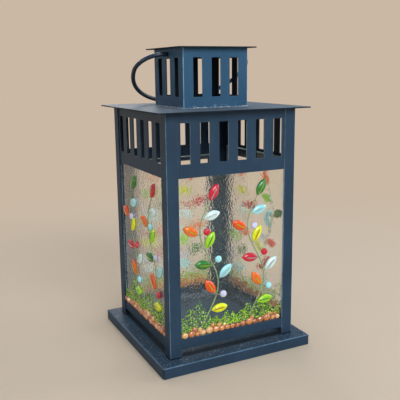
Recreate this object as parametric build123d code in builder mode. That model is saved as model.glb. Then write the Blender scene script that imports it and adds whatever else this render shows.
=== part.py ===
import math
import os

from build123d import *

# A candle lantern of folded sheet steel with four decorated glass panes and a door at the back.
# Millimetres, +Z up, front towards -Y, origin at the middle of the base on the ground.

# Sheet metal
SHEET = 1.0
BEND_RADIUS = 1.5

# Base tray
BASE_WIDTH = 152.0
BASE_HEIGHT = 10.0
CORNER_SEAM = 0.8

# Body
BODY_WIDTH = 128.0
BODY_HEIGHT = 216.0
POST_FLANGE = 11.0

# Slotted band and window, the same on every side
RAIL_LIFT = 7.5
RAIL_HEIGHT = 9.0
BAND_HEIGHT = 55.0
SLOT_WIDTH = 9.0
SLOT_HEIGHT = 34.5
SLOT_PITCH = 18.2
SLOT_DROP = 8.8
SLOT_MARGIN = 2.0

# Panels that are fixed behind the posts
PANEL_STILE = 4.0

# Glass
GLASS = 3.0
GLASS_PLAY = 0.3
GLASS_ABOVE_WINDOW = 9.0
LEDGE_DEPTH = 5.0
TAB_HEIGHT = 6.0
TAB_REACH = 6.0
TAB_WIDTH = 8.0

# Roof, chimney and cap
ROOF_WIDTH = 147.5
PLATE_CORNER = 1.2
FLUE_WIDTH = 56.0
CHIMNEY_WIDTH = 65.0
CHIMNEY_HEIGHT = 52.0
CHIMNEY_SLOT_HEIGHT = 34.0
CHIMNEY_SLOT_LIFT = 9.7
CHIMNEY_MARGIN = 5.0
CAP_WIDTH = 77.0

# Carrying handle
WIRE_DIAMETER = 4.0
WIRE_FLAT = 1.05
WIRE_PLAY = 0.08
HANDLE_REACH = 76.8
HANDLE_BEND = 22.0
HANDLE_TAIL = 4.0
HANDLE_PIVOT = 3.4
HANDLE_DROP = 4.8
HANDLE_REST_GAP = 0.3

# Door
DOOR_GAP = 0.75
DOOR_STILE = 13.0
DOOR_HEAD = 5.0
DOOR_GLASS_ABOVE_WINDOW = 5.0
DOOR_RETURN = 6.0

# Door hinges
HINGE_HEIGHT = 18.0
HINGE_INSET = 18.0
HINGE_LEAF = 0.8
HINGE_LEAF_WIDTH = 8.0
KNUCKLE_DIAMETER = 4.4
KNUCKLE_STAND_OFF = 0.3
PIN_DIAMETER = 2.2
PIN_PLAY = 0.05
PIN_HEAD_DIAMETER = 3.6
PIN_HEAD = 0.8
KNUCKLE_GAP = 0.3

# Door furniture
KNOB_DIAMETER = 8.0
KNOB_HEAD = 3.5
KNOB_BEVEL = 1.2
KNOB_NECK_DIAMETER = 4.0
KNOB_NECK = 3.0
KNOB_LIFT = 70.0
BUTTON_LIFT = 86.0
BUTTON_WIDTH = 8.0
BUTTON_LENGTH = 12.0
BUTTON_THICKNESS = 1.2
BUTTON_GAP = 0.3
STUD_DIAMETER = 3.0
STUD_PLAY = 0.05
STUD_HEAD_DIAMETER = 5.0
STUD_HEAD = 1.0
STOP_HEIGHT = 12.0
STOP_LIFT = 24.0
STOP_REACH = 4.0
STOP_GAP = 0.3

# Fused glass relief
LEAF_COUNT = 7
LEAF_FACETS = 4
LEAF_LENGTH = 16.5
LEAF_WIDTH = 8.5
LEAF_RISE = 2.6
LEAF_EDGE = 0.8
LEAF_SPREAD = 55.0
LEAF_STEM = 2.0
BERRY_DIAMETER = 6.5
BERRY_FACETS = 10
BERRY_RISE = 2.8
BERRY_EDGE = 0.8
BERRY_STEM = 7.0
BERRY_SPREAD = 75.0
RELIEF_MARGIN = 5.0
VINE_FOOT = 22.0

# Heights that follow
roof_bottom = BASE_HEIGHT + BODY_HEIGHT
roof_top = roof_bottom + SHEET
cap_bottom = roof_top + CHIMNEY_HEIGHT
rail_bottom = BASE_HEIGHT + RAIL_LIFT
ledge_top = rail_bottom + SHEET
window_bottom = rail_bottom + RAIL_HEIGHT
window_top = roof_bottom - BAND_HEIGHT
glass_top = window_top + GLASS_ABOVE_WINDOW
door_window_top = window_top - DOOR_HEAD
door_glass_top = door_window_top + DOOR_GLASS_ABOVE_WINDOW
slot_middle = roof_bottom - SLOT_DROP - SLOT_HEIGHT / 2
handle_axis = cap_bottom - HANDLE_DROP

# How deep a tab goes round its pane
tab_depth = GLASS + GLASS_PLAY + SHEET

# Distances from the middle that follow
post_face = BODY_WIDTH / 2
panel_face = post_face - SHEET
panel_back = panel_face - SHEET
clear_width = BODY_WIDTH - 2 * POST_FLANGE
panel_width = clear_width + 2 * PANEL_STILE
panel_pane_width = panel_width - 2 * SHEET - 2 * GLASS_PLAY
door_width = clear_width - 2 * DOOR_GAP
door_back = post_face - SHEET
door_window_width = door_width - 2 * DOOR_STILE
door_pane_width = door_width - 2 * SHEET - 2 * GLASS_PLAY
door_return_end = post_face - DOOR_RETURN
door_edge = door_width / 2
post_edge = clear_width / 2

# Hinge line, on the left of the door as seen from outside
hinge_x = -(post_edge + door_edge) / 2
hinge_out = post_face + KNUCKLE_STAND_OFF + KNUCKLE_DIAMETER / 2
hinge_heights = (window_bottom + HINGE_INSET, window_top - HINGE_INSET)

# The sides, each a quarter turn on from the one before
SIDES = ("front", "right", "back", "left")


def count_slots(width):
    """How many slots fit side by side in a clear width."""
    return int((width - SLOT_WIDTH) // SLOT_PITCH) + 1


def turned(piece, side):
    """A piece modelled at the front, turned about the lantern's own axis to another side."""
    return piece.rotate(Axis.Z, SIDES.index(side) * 360 / len(SIDES))


def save(piece, name):
    piece.label = name
    export_step(piece, f"parts/{name}.step")


def make_base_tray():
    """A square sheet whose four rims are folded down, with an open seam at each corner."""
    with BuildPart() as tray:
        with BuildSketch():
            Rectangle(BASE_WIDTH, BASE_WIDTH)
        extrude(amount=BASE_HEIGHT)
        fillet(tray.faces().sort_by(Axis.Z)[-1].edges(), BEND_RADIUS)
        offset(amount=-SHEET, openings=tray.faces().sort_by(Axis.Z)[0])
        with BuildSketch():
            for turn in (45, 135):
                Rectangle(2 * BASE_WIDTH, CORNER_SEAM, rotation=turn)
        extrude(amount=BASE_HEIGHT - BEND_RADIUS, mode=Mode.SUBTRACT)
    return tray.part


def make_post():
    """The front left corner post, a steel angle bent round the corner of the body."""
    with BuildPart() as post:
        with BuildSketch(Plane.XY.offset(BASE_HEIGHT)):
            with BuildLine():
                FilletPolyline(
                    (-post_face, -post_edge), (-post_face, -post_face), (-post_edge, -post_face),
                    radius=BEND_RADIUS,
                )
                offset(amount=SHEET, side=Side.LEFT)
            make_face()
        extrude(amount=BODY_HEIGHT)
    return post.part


def pierced_sheet(width, top, window_width, window_head):
    """The outline of one side: a sheet with a row of slots over a window. Drawn in the open sketch."""
    with Locations((0, (rail_bottom + top) / 2)):
        Rectangle(width, top - rail_bottom)
    with Locations((0, (window_bottom + window_head) / 2)):
        Rectangle(window_width, window_head - window_bottom, mode=Mode.SUBTRACT)
    with Locations((0, slot_middle)):
        with GridLocations(SLOT_PITCH, 0, count_slots(clear_width - 2 * SLOT_MARGIN), 1):
            Rectangle(SLOT_WIDTH, SLOT_HEIGHT, mode=Mode.SUBTRACT)


def corner_tabs(edge, sheet_back):
    """Bent tabs at both sides of a sheet, round the edges of its pane. Drawn in the open sketch."""
    tab_end = sheet_back - tab_depth
    for side in (-1, 1):
        with Locations((side * (edge - SHEET / 2), -(sheet_back + tab_end) / 2)):
            Rectangle(SHEET, tab_depth)
        with Locations((side * (edge - TAB_REACH / 2), -(tab_end + SHEET / 2))):
            Rectangle(TAB_REACH, SHEET)


def top_tab(sheet_back, pane_top):
    """A bent tab on a sheet, over the top of its pane, seen from its side. Drawn in the open sketch."""
    tab_end = sheet_back - tab_depth
    tab_top = pane_top + GLASS_PLAY + SHEET
    with Locations((-(sheet_back + tab_end) / 2, tab_top - SHEET / 2)):
        Rectangle(tab_depth, SHEET)
    with Locations((-(tab_end + SHEET / 2), tab_top - TAB_REACH / 2)):
        Rectangle(SHEET, TAB_REACH)


def make_panel():
    """The front panel: a slotted sheet with a ledge under the pane and tabs that hold it in."""
    with BuildPart() as panel:
        with BuildSketch(Plane.XZ.offset(panel_back)):
            pierced_sheet(panel_width, roof_bottom, clear_width, window_top)
        extrude(amount=SHEET)
        with BuildSketch(Plane.XY.offset(rail_bottom)):
            with Locations((0, -panel_back + LEDGE_DEPTH / 2)):
                Rectangle(panel_pane_width, LEDGE_DEPTH)
        extrude(amount=SHEET)
        with BuildSketch(Plane.XY.offset(ledge_top)):
            corner_tabs(panel_width / 2, panel_back)
        extrude(amount=TAB_HEIGHT)
        with BuildSketch(Plane.YZ):
            top_tab(panel_back, glass_top)
        extrude(amount=TAB_WIDTH / 2, both=True)
    return panel.part


def make_door_frame():
    """The door, modelled at the front: a slotted sheet with its sides and foot folded inwards."""
    door_top = roof_bottom - DOOR_GAP
    with BuildPart() as door:
        with BuildSketch(Plane.XZ.offset(door_back)):
            pierced_sheet(door_width, door_top, door_window_width, door_window_top)
        extrude(amount=SHEET)
        with BuildSketch(Plane.XY.offset(rail_bottom)):
            with Locations((0, -(door_back + door_return_end) / 2)):
                Rectangle(door_width, door_back - door_return_end)
        extrude(amount=SHEET)
        with BuildSketch(Plane.XY.offset(rail_bottom)):
            for side in (-1, 1):
                with Locations((side * (door_edge - SHEET / 2), -(door_back + door_return_end) / 2)):
                    Rectangle(SHEET, door_back - door_return_end)
        extrude(amount=door_top - rail_bottom)
        with BuildSketch(Plane.XY.offset(ledge_top)):
            corner_tabs(door_edge, door_back)
        extrude(amount=TAB_HEIGHT)
        with BuildSketch(Plane.YZ):
            top_tab(door_back, door_glass_top)
        extrude(amount=TAB_WIDTH / 2, both=True)
    return door.part


def make_pane(width, top, front):
    """A sheet of glass that stands on the ledge behind its window."""
    with BuildPart() as pane:
        with BuildSketch(Plane.XZ.offset(front - GLASS)):
            with Locations((0, (ledge_top + top) / 2)):
                Rectangle(width, top - ledge_top)
        extrude(amount=GLASS)
    return pane.part


def facet_arc(chord, rise, facets):
    """Points along a flat arc from one end of a chord on the X axis to the other, rise high at the middle."""
    radius = ((chord / 2) ** 2 + rise ** 2) / (2 * rise)
    half_angle = math.asin(chord / 2 / radius)
    points = []
    for step in range(facets + 1):
        angle = half_angle * (2 * step / facets - 1)
        points.append((radius * math.sin(angle), rise - radius * (1 - math.cos(angle))))
    return points


def bevelled(part, rise, edge):
    """Raise the pending outline of the open part, with a sloping bevel from its edge up to its crown."""
    extrude(amount=rise)
    chamfer(part.faces().sort_by(Axis.Z)[-1].edges(), rise - edge)


def make_leaf():
    """One leaf of fused glass, lying flat: a pointed oval in facets, bevelled towards its crown."""
    upper = facet_arc(LEAF_LENGTH, LEAF_WIDTH / 2, LEAF_FACETS)
    lower = [(-x, -y) for x, y in upper]
    with BuildPart() as leaf:
        with BuildSketch():
            with BuildLine():
                Polyline(*upper, *lower[1:])
            make_face()
        bevelled(leaf, LEAF_RISE, LEAF_EDGE)
    return leaf.part


def make_berry():
    """One berry of fused glass, lying flat: a round button in facets, bevelled towards its crown."""
    with BuildPart() as berry:
        with BuildSketch():
            RegularPolygon(BERRY_DIAMETER / 2, BERRY_FACETS)
        bevelled(berry, BERRY_RISE, BERRY_EDGE)
    return berry.part


def stalk_spot(x, z, heading, length):
    """The place at the end of a stalk that leaves the vine at a heading, in degrees."""
    turn = math.radians(heading)
    return Location((x + length * math.cos(turn), z + length * math.sin(turn), 0), (0, 0, heading))


def vine_spots(window_width, window_head):
    """Where leaves and berries lie on a pane: along two vines that sway side by side up the window."""
    lane = (window_width / 2 - RELIEF_MARGIN) / 2
    leaf_stalk = LEAF_STEM + LEAF_LENGTH / 2
    sway = lane - (LEAF_STEM + LEAF_LENGTH) * math.sin(math.radians(LEAF_SPREAD))
    foot = window_bottom + VINE_FOOT
    height = window_head - RELIEF_MARGIN - LEAF_STEM - LEAF_LENGTH - foot
    leaves = []
    berries = []
    for vine_x in (-lane, lane):
        for number in range(LEAF_COUNT + 1):
            turn = 2 * math.pi * number / LEAF_COUNT
            x = vine_x + sway * math.sin(turn)
            z = foot + height * number / LEAF_COUNT
            heading = math.degrees(math.atan2(height, 2 * math.pi * sway * math.cos(turn)))
            if number == LEAF_COUNT:
                leaves.append(stalk_spot(x, z, heading, leaf_stalk))
            elif number % 2:
                leaves.append(stalk_spot(x, z, heading + LEAF_SPREAD, leaf_stalk))
                berries.append(stalk_spot(x, z, heading - BERRY_SPREAD, BERRY_STEM))
            else:
                leaves.append(stalk_spot(x, z, heading - LEAF_SPREAD, leaf_stalk))
    return leaves, berries


def scatter(piece, face, spots):
    """Copies of one relief piece laid on the outer face of a pane, at the front."""
    with BuildPart(Plane.XZ.offset(face)) as group:
        with Locations(*spots):
            add(piece)
    return group.part


def make_roof():
    """The roof plate, a flat sheet with the flue opening in its middle."""
    with BuildPart() as roof:
        with BuildSketch(Plane.XY.offset(roof_bottom)):
            RectangleRounded(ROOF_WIDTH, ROOF_WIDTH, PLATE_CORNER)
            Rectangle(FLUE_WIDTH, FLUE_WIDTH, mode=Mode.SUBTRACT)
        extrude(amount=SHEET)
    return roof.part


def make_cap():
    """The flat cap on the chimney."""
    with BuildPart() as cap:
        with BuildSketch(Plane.XY.offset(cap_bottom)):
            RectangleRounded(CAP_WIDTH, CAP_WIDTH, PLATE_CORNER)
        extrude(amount=SHEET)
    return cap.part


def make_chimney():
    """A folded square box with slots on all sides, and a hole on the left and right for the handle."""
    slot_count = count_slots(CHIMNEY_WIDTH - 2 * CHIMNEY_MARGIN)
    slot_height = roof_top + CHIMNEY_SLOT_LIFT + CHIMNEY_SLOT_HEIGHT / 2
    inner_width = CHIMNEY_WIDTH - 2 * SHEET
    with BuildPart() as chimney:
        with BuildSketch(Plane.XY.offset(roof_top)):
            RectangleRounded(CHIMNEY_WIDTH, CHIMNEY_WIDTH, BEND_RADIUS)
            RectangleRounded(inner_width, inner_width, BEND_RADIUS - SHEET, mode=Mode.SUBTRACT)
        extrude(amount=CHIMNEY_HEIGHT)
        for side in (Plane.XZ, Plane.YZ):
            with BuildSketch(side):
                with Locations((0, slot_height)):
                    with GridLocations(SLOT_PITCH, 0, slot_count, 1):
                        Rectangle(SLOT_WIDTH, CHIMNEY_SLOT_HEIGHT)
            extrude(amount=CHIMNEY_WIDTH, both=True, mode=Mode.SUBTRACT)
        with BuildSketch(Plane.YZ):
            with Locations((0, handle_axis)):
                Circle(WIRE_DIAMETER / 2 + WIRE_PLAY)
        extrude(amount=CHIMNEY_WIDTH, both=True, mode=Mode.SUBTRACT)
    return chimney.part


def handle_droop():
    """How far below level the handle lies, in degrees, when its top rests on the roof plate."""
    wire_height = WIRE_DIAMETER / 2 + HANDLE_REST_GAP
    return math.degrees(math.asin((handle_axis - roof_top - wire_height) / HANDLE_REACH))


def make_handle():
    """A wire bail, lying back on the roof: round pivots in the chimney, and a bow bent in fine flats."""
    tail = CHIMNEY_WIDTH / 2 - SHEET - HANDLE_TAIL
    pivot_end = CHIMNEY_WIDTH / 2 + HANDLE_PIVOT
    bow_radius = HANDLE_REACH / 2 + pivot_end ** 2 / (2 * (HANDLE_REACH - 2 * HANDLE_BEND))
    bow_centre = HANDLE_REACH - bow_radius
    bend_end = math.degrees(math.atan2(HANDLE_BEND - bow_centre, pivot_end))
    flats = round(math.pi * WIRE_DIAMETER / WIRE_FLAT)
    lie = Plane.XY.offset(handle_axis).rotated((-handle_droop(), 0, 0))
    with BuildPart() as handle:
        with BuildLine(lie) as route:
            CenterArc((pivot_end, HANDLE_BEND), HANDLE_BEND, -90, 90 + bend_end)
            CenterArc((0, bow_centre), bow_radius, bend_end, 180 - 2 * bend_end)
            CenterArc((-pivot_end, HANDLE_BEND), HANDLE_BEND, 180 - bend_end, 90 + bend_end)
        with BuildSketch(Plane(origin=route.wire() @ 0, z_dir=route.wire() % 0)):
            RegularPolygon(WIRE_DIAMETER / 2, flats)
        sweep()
        for end in (-1, 1):
            with BuildSketch(Plane.YZ.offset(end * tail)):
                with Locations((0, handle_axis)):
                    Circle(WIRE_DIAMETER / 2)
            extrude(amount=end * (pivot_end - tail))
    return handle.part


def knuckle_spans(bottom):
    """The heights of a hinge's lower, middle and upper knuckles."""
    third = HINGE_HEIGHT / 3
    low = (bottom, bottom + third - KNUCKLE_GAP / 2)
    middle = (bottom + third + KNUCKLE_GAP / 2, bottom + 2 * third - KNUCKLE_GAP / 2)
    high = (bottom + 2 * third + KNUCKLE_GAP / 2, bottom + HINGE_HEIGHT)
    return low, middle, high


def make_hinge_leaf(bottom, side, spans):
    """One leaf of a butt hinge at the front: a plate on the sheet, with webs to its own knuckles."""
    knuckle = KNUCKLE_DIAMETER / 2
    near = knuckle + KNUCKLE_GAP
    plate_middle = hinge_x + side * (near + HINGE_LEAF_WIDTH) / 2
    leaf_y = -(post_face + HINGE_LEAF / 2)
    with BuildPart() as leaf:
        with BuildSketch(Plane.XY.offset(bottom)):
            with Locations((plate_middle, leaf_y)):
                Rectangle(HINGE_LEAF_WIDTH - near, HINGE_LEAF)
        extrude(amount=HINGE_HEIGHT)
        for low, high in spans:
            with BuildSketch(Plane.XY.offset(low)):
                with Locations((hinge_x, -hinge_out)):
                    Circle(knuckle)
                with Locations((hinge_x + side * near / 2, leaf_y)):
                    Rectangle(near, HINGE_LEAF)
                with Locations((hinge_x, -hinge_out)):
                    Circle(PIN_DIAMETER / 2 + PIN_PLAY, mode=Mode.SUBTRACT)
            extrude(amount=high - low)
    return leaf.part


def make_hinge_pin(bottom):
    """A hinge pin with a head at each end."""
    with BuildPart() as pin:
        with BuildSketch(Plane.XY.offset(bottom - PIN_HEAD)):
            with Locations((hinge_x, -hinge_out)):
                Circle(PIN_HEAD_DIAMETER / 2)
        extrude(amount=PIN_HEAD)
        with BuildSketch(Plane.XY.offset(bottom)):
            with Locations((hinge_x, -hinge_out)):
                Circle(PIN_DIAMETER / 2)
        extrude(amount=HINGE_HEIGHT)
        with BuildSketch(Plane.XY.offset(bottom + HINGE_HEIGHT)):
            with Locations((hinge_x, -hinge_out)):
                Circle(PIN_HEAD_DIAMETER / 2)
        extrude(amount=PIN_HEAD)
    return pin.part


def make_knob():
    """A small round knob on the free stile of the door, at the front."""
    spot = (door_edge - DOOR_STILE / 2, rail_bottom + KNOB_LIFT)
    with BuildPart() as knob:
        with BuildSketch(Plane.XZ.offset(post_face)):
            with Locations(spot):
                Circle(KNOB_NECK_DIAMETER / 2)
        extrude(amount=KNOB_NECK)
        with BuildSketch(Plane.XZ.offset(post_face + KNOB_NECK)):
            with Locations(spot):
                Circle(KNOB_DIAMETER / 2)
        extrude(amount=KNOB_HEAD)
        chamfer(knob.faces().sort_by(Axis.Y)[0].edges(), KNOB_BEVEL)
    return knob.part


def make_stud():
    """The headed stud on the post, on which the turn button swings, at the front."""
    middle = post_edge + POST_FLANGE / 2
    height = rail_bottom + BUTTON_LIFT
    length = 2 * BUTTON_GAP + BUTTON_THICKNESS
    with BuildPart() as stud:
        with BuildSketch(Plane.XZ.offset(post_face)):
            with Locations((middle, height)):
                Circle(STUD_DIAMETER / 2)
        extrude(amount=length)
        with BuildSketch(Plane.XZ.offset(post_face + length)):
            with Locations((middle, height)):
                Circle(STUD_HEAD_DIAMETER / 2)
        extrude(amount=STUD_HEAD)
    return stud.part


def make_turn_button():
    """The turn button, hanging down beside the door, at the front."""
    middle = post_edge + POST_FLANGE / 2
    height = rail_bottom + BUTTON_LIFT
    with BuildPart() as button:
        with BuildSketch(Plane.XZ.offset(post_face + BUTTON_GAP)):
            with Locations((middle, height)):
                Circle(BUTTON_WIDTH / 2)
            with Locations((middle, height - BUTTON_LENGTH / 2)):
                Rectangle(BUTTON_WIDTH, BUTTON_LENGTH)
            with Locations((middle, height)):
                Circle(STUD_DIAMETER / 2 + STUD_PLAY, mode=Mode.SUBTRACT)
        extrude(amount=BUTTON_THICKNESS)
    return button.part


def make_door_stop():
    """A bent strip behind the post flange, which reaches in behind the free side of the door."""
    strip_back = post_face - SHEET
    foot_far = post_edge + POST_FLANGE - BEND_RADIUS - SHEET
    foot_near = post_edge + SHEET
    stop_y = -(door_return_end - STOP_GAP)
    with BuildPart() as stop:
        with BuildSketch(Plane.XY.offset(rail_bottom + STOP_LIFT)):
            with BuildLine():
                Polyline(
                    (foot_far, -strip_back),
                    (foot_near, -strip_back),
                    (foot_near, stop_y),
                    (door_edge - STOP_REACH, stop_y),
                )
                offset(amount=SHEET, side=Side.RIGHT)
            make_face()
        extrude(amount=STOP_HEIGHT)
    return stop.part


os.makedirs("parts", exist_ok=True)

save(make_base_tray(), "base_tray")
save(make_roof(), "roof_plate")
save(make_chimney(), "chimney")
save(make_cap(), "chimney_cap")
save(make_handle(), "handle")

post = make_post()
for side, corner in zip(SIDES, ("front_left", "front_right", "back_right", "back_left")):
    save(turned(post, side), f"post_{corner}")

panel = make_panel()
panel_pane = make_pane(panel_pane_width, glass_top, panel_back)
for side in ("front", "right", "left"):
    save(turned(panel, side), f"{side}_panel")
    save(turned(panel_pane, side), f"{side}_pane")

save(turned(make_door_frame(), "back"), "door_frame")
save(turned(make_pane(door_pane_width, door_glass_top, door_back), "back"), "door_pane")

leaf = make_leaf()
berry = make_berry()
for side in SIDES:
    at_door = side == "back"
    pane_name = "door_pane" if at_door else f"{side}_pane"
    face = door_back if at_door else panel_back
    window = (door_window_width, door_window_top) if at_door else (clear_width, window_top)
    leaf_spots, berry_spots = vine_spots(*window)
    save(turned(scatter(leaf, face, leaf_spots), side), f"{pane_name}_leaves")
    save(turned(scatter(berry, face, berry_spots), side), f"{pane_name}_berries")

for level, height in zip(("lower", "upper"), hinge_heights):
    bottom = height - HINGE_HEIGHT / 2
    low, middle, high = knuckle_spans(bottom)
    save(turned(make_hinge_leaf(bottom, -1, (low, high)), "back"), f"{level}_hinge_post_leaf")
    save(turned(make_hinge_leaf(bottom, 1, (middle,)), "back"), f"{level}_hinge_door_leaf")
    save(turned(make_hinge_pin(bottom), "back"), f"{level}_hinge_pin")

save(turned(make_knob(), "back"), "door_knob")
save(turned(make_stud(), "back"), "turn_button_stud")
save(turned(make_turn_button(), "back"), "turn_button")
save(turned(make_door_stop(), "back"), "door_stop")
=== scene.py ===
import math
import random

import bpy
from mathutils import Matrix, Vector, noise


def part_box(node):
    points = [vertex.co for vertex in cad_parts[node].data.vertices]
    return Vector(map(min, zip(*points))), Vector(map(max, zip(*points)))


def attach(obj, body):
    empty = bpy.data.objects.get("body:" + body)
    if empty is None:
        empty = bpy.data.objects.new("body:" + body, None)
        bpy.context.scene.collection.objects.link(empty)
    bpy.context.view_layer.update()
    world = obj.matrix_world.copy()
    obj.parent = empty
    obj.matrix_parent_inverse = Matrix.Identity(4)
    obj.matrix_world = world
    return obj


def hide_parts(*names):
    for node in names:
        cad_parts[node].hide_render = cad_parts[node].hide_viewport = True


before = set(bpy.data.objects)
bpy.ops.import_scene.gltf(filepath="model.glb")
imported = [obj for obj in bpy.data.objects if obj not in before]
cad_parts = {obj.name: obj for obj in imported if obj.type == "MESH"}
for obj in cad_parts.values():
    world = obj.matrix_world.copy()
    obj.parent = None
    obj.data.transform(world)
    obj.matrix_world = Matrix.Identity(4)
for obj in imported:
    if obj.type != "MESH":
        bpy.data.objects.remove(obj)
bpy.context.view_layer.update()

# A candle lantern of painted sheet steel with rippled glass panes and fused glass relief.
# Metres, +Z up, front towards -Y. Forms are laid out in millimetres; materials are written in metres.

MM = 0.001
SIDES = {"front": 0, "right": 90, "back": 180, "left": 270}

# Window, panes and relief, as in the CAD source
WINDOW_BOTTOM, GLASS_THICK = 26.5, 3.0
PANEL_FACE, PANEL_WINDOW, PANEL_HEAD = 62.0, 106.0, 171.0
DOOR_FACE, DOOR_WINDOW, DOOR_HEAD = 63.0, 78.5, 166.0
LEAF_COUNT, LEAF_LENGTH, LEAF_WIDTH, LEAF_RISE = 7, 16.5, 8.5, 2.6
LEAF_STEM, LEAF_SPREAD = 2.0, 55.0
BERRY_DIAMETER, BERRY_RISE, BERRY_STEM, BERRY_SPREAD = 6.5, 2.8, 7.0, 75.0
RELIEF_MARGIN, VINE_FOOT = 5.0, 22.0

# Roof, chimney and handle, as in the CAD source
ROOF_TOP, ROOF_HALF, CAP_HALF, CHIMNEY_HALF = 227.0, 73.75, 38.5, 32.5
HANDLE_AXIS, HANDLE_REACH, HANDLE_BEND, HANDLE_PIVOT = 274.2, 76.8, 22.0, 35.9
HANDLE_DROOP, HANDLE_TAIL, WIRE_RADIUS = 35.777, 27.5, 2.0


def srgb(red, green, blue):
    """A colour seen on a screen, 0 to 255, as the linear light that it stands for."""
    linear = []
    for value in (red, green, blue):
        share = value / 255
        linear.append(share / 12.92 if share <= 0.04045 else ((share + 0.055) / 1.055) ** 2.4)
    return (*linear, 1.0)


def shaded(colour, share):
    """A colour made darker or lighter."""
    return (*(share * value for value in colour[:3]), 1.0)


# Node materials


class Nodes:
    """A node tree under construction: that of a new material, or of the world."""

    def __init__(self, name, world=None):
        self.material = world or bpy.data.materials.new(name)
        self.material.use_nodes = True
        self.tree = self.material.node_tree
        self.tree.nodes.clear()
        self.output = self.tree.nodes.new("ShaderNodeOutputWorld" if world else "ShaderNodeOutputMaterial")
        if not world:
            self.shader = self.add("BsdfPrincipled")
            self.surface(self.shader.outputs[0])

    def fill(self, socket, value):
        """Join a socket to another node's output, or set it to a constant."""
        if isinstance(value, bpy.types.NodeSocket):
            self.tree.links.new(value, socket)
        else:
            socket.default_value = value

    def add(self, kind, settings=None, **inputs):
        """A new node; an input is called by its name, or by its number after an underscore."""
        node = self.tree.nodes.new("ShaderNode" + kind)
        for name, value in (settings or {}).items():
            setattr(node, name, value)
        for name, value in inputs.items():
            self.fill(node.inputs[int(name[1:]) if name[0] == "_" else name.replace("_", " ")], value)
        return node

    def set(self, **values):
        """Inputs of the material's own shader."""
        for name, value in values.items():
            self.fill(self.shader.inputs[name.replace("_", " ")], value)

    def surface(self, shader):
        self.fill(self.output.inputs["Surface"], shader)

    def place(self):
        return self.add("TexCoord").outputs["Object"]

    def normal(self):
        """The way a face looks, in the object's own frame."""
        return self.add("TexCoord").outputs["Normal"]

    def parts(self, vector):
        return self.add("SeparateXYZ", _0=vector).outputs

    def sizes(self, vector):
        """The three parts of a vector, without their signs."""
        return self.parts(self.add("VectorMath", {"operation": "ABSOLUTE"}, _0=vector).outputs[0])

    def far(self, place):
        """How far out from the middle a place is, across or in depth, whichever is more."""
        away = self.sizes(place)
        return self.maths("MAXIMUM", away["X"], away["Y"])

    def dot(self, first, second):
        return self.add("VectorMath", {"operation": "DOT_PRODUCT"}, _0=first, _1=second).outputs["Value"]

    def scaled(self, place, scales):
        return self.add("Mapping", _0=place, _3=scales).outputs[0]

    def noise(self, place, scale, detail, rough):
        return self.add("TexNoise", Vector=place, Scale=scale, Detail=detail, Roughness=rough).outputs["Fac"]

    def ramp(self, value, low, high):
        """0 below low, 1 above high, smooth between."""
        node = self.add("MapRange", {"interpolation_type": "SMOOTHSTEP"}, _0=value, _1=low, _2=high)
        return node.outputs[0]

    def span(self, value, low, high):
        """A 0 to 1 value spread from low to high."""
        return self.add("MapRange", _0=value, _3=low, _4=high).outputs[0]

    def maths(self, operation, first, second):
        return self.add("Math", {"operation": operation}, _0=first, _1=second).outputs[0]

    def product(self, first, *others):
        for other in others:
            first = self.maths("MULTIPLY", first, other)
        return first

    def less(self, value, whole=1.0):
        """What a value leaves of a whole."""
        return self.maths("SUBTRACT", whole, value)

    def mix(self, share, first, second, blend="MIX"):
        node = self.add("Mix", {"data_type": "RGBA", "blend_type": blend}, _0=share, _6=first, _7=second)
        return node.outputs[2]

    def bump(self, height, strength, distance, normal=None):
        node = self.add("Bump", Height=height, Strength=strength, Distance=distance)
        if normal:
            self.fill(node.inputs["Normal"], normal)
        return node.outputs[0]

    def rounded(self, radius):
        """The normal, turned over along sharp edges as a small round would turn it."""
        return self.add("Bevel", {"samples": 6}, Radius=radius).outputs[0]

    def seen(self):
        """1 for rays from the camera, off gloss or through glass, which see the plain backdrop."""
        path = self.add("LightPath").outputs
        straight = self.maths("MAXIMUM", path["Is Camera Ray"], path["Is Glossy Ray"])
        return self.maths("MAXIMUM", straight, path["Is Transmission Ray"])


# Where painted shade, dark seams and scrapes begin and end: distances out from the middle, and heights
UNDER_WALLS, PAST_WALLS = (0.050, 0.058), (0.0610, 0.0650)
BASE_CORNER, BASE_SEAM, POST_FOOT = (0.0750, 0.0755), (0.0078, 0.0086), (0.0106, 0.0120)
INNER_FACE, BAND_FOOT, FLUE_FACE = (0.056, 0.060), (0.168, 0.178), (0.0316, 0.0319)
CHIMNEY_SCUFF = (0.2275, 0.2340)
# How far in from a rim the dark begins and is full, and over what lengths a cut edge fades and grows
RIM_START, RIM_FULL, CUT_FADE, CUT_RISE = 0.0005, 0.0002, 0.0005, 0.0002
# Cut edges: how far across they reach, and the depth that they lie past
FRAME_CUTS, CHIMNEY_CUTS = (0.0595, 0.0617), (0.0300, 0.0313)


def on_base(n, place):
    """Painted shade on the base below the walls, which keep the light off it, and dark lines in its corner
    seams.
    """
    away = n.sizes(place)
    far = n.far(place)
    walls = n.product(n.ramp(far, *UNDER_WALLS), n.less(n.ramp(far, *PAST_WALLS), 0.85))
    corner = n.ramp(n.maths("MINIMUM", away["X"], away["Y"]), *BASE_CORNER)
    seam = n.product(corner, n.less(n.ramp(away["Z"], *BASE_SEAM), 0.95))
    return n.maths("MAXIMUM", walls, seam)


def on_frame(n, place):
    """Painted shade in the seam at the foot of the posts and inside the slotted bands under the roof."""
    height = n.parts(place)["Z"]
    foot = n.less(n.ramp(height, *POST_FOOT), 0.9)
    back = n.add("VectorMath", {"operation": "MULTIPLY"}, _0=n.normal(), _1=(-1.0, -1.0, 0.0)).outputs[0]
    inner = n.ramp(n.dot(back, place), *INNER_FACE)
    return n.maths("MAXIMUM", foot, n.product(inner, n.ramp(height, *BAND_FOOT), 0.45))


def at_rim(reach):
    """The cut rim of a plate that reaches so far from the middle, darkened with painted shade."""
    def mask(n, place):
        return n.product(n.ramp(n.far(place), reach - RIM_START, reach - RIM_FULL), 0.8)
    return mask


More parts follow.
